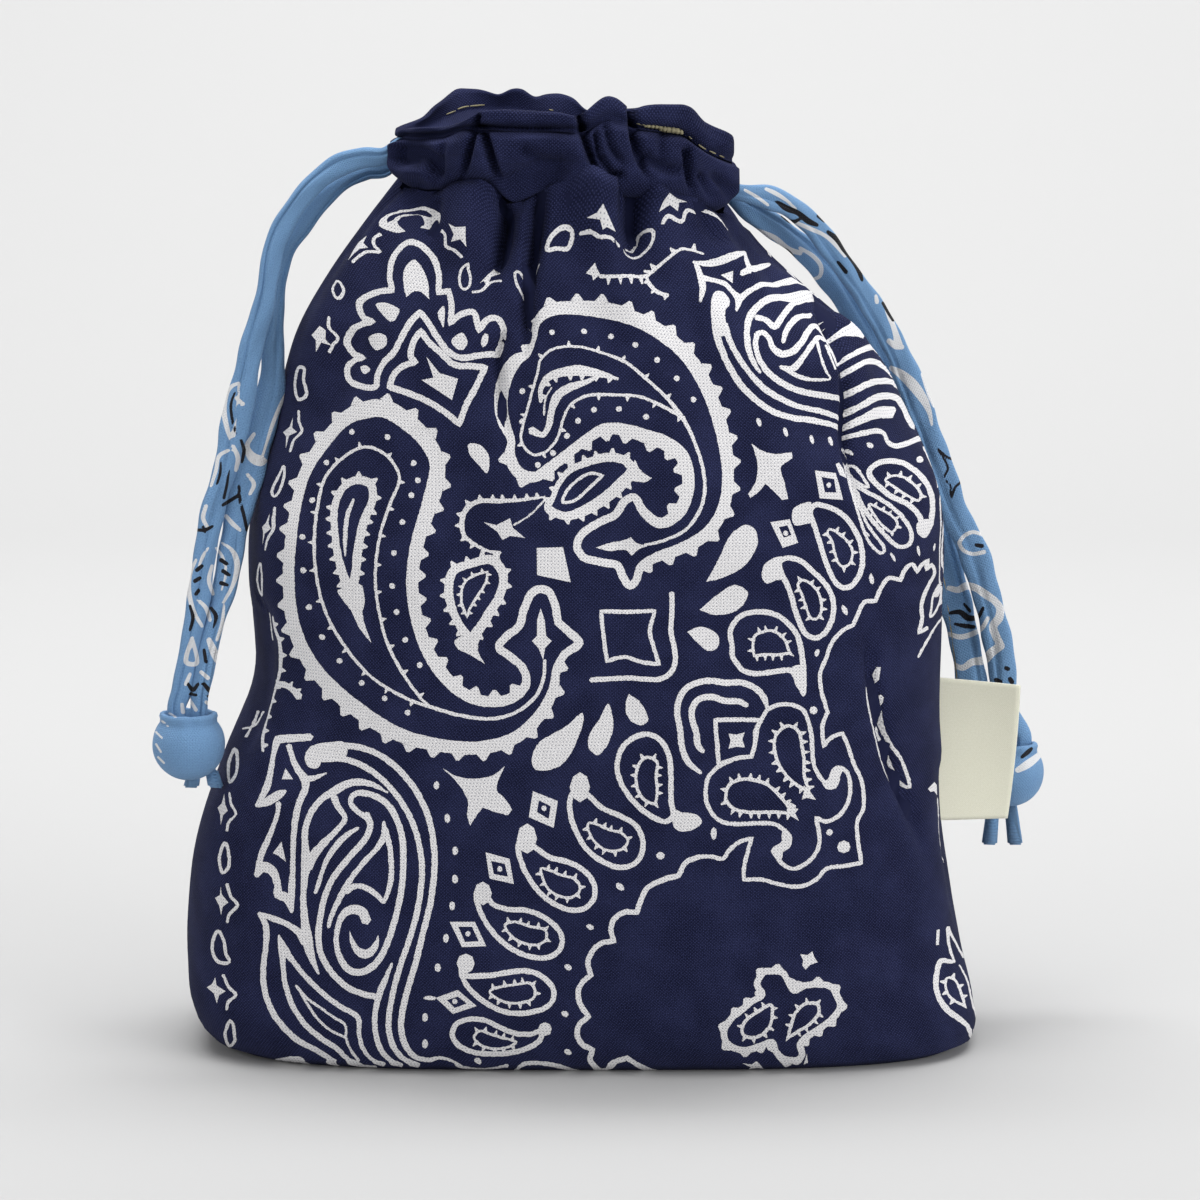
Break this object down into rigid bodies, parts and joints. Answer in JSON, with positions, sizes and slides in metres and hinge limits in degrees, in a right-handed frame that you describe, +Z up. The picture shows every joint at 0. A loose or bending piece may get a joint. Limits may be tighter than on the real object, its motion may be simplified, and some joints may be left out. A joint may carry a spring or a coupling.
{
  "type": "kinchaku drawstring pouch",
  "caption": "Cotton drawstring pouch with a boxed base, a gathered mouth in two casings, two looped cloth cords with stopper balls and a side label.",
  "frame": {"origin": "middle of the flat base, on the surface the pouch stands on", "axes": "+Z up through the gathered mouth, +X towards the seam that holds the label, and the printed front faces -Y"},
  "size_m": [0.2216, 0.1, 0.2408],
  "materials": {
    "navy_print_cotton": "matte printed plain weave",
    "navy_cotton": "matte plain weave",
    "blue_cotton": "matte printed plain weave",
    "cream_tape": "smooth woven tape"
  },
  "bodies": {
    "root": {"pouch_body": "navy_print_cotton", "front_casing": "navy_cotton", "back_casing": "navy_cotton", "left_cord": "blue_cotton", "right_cord": "blue_cotton", "left_cord_ball": "blue_cotton", "right_cord_ball": "blue_cotton", "side_tag": "cream_tape"}
  },
  "joints": []
}
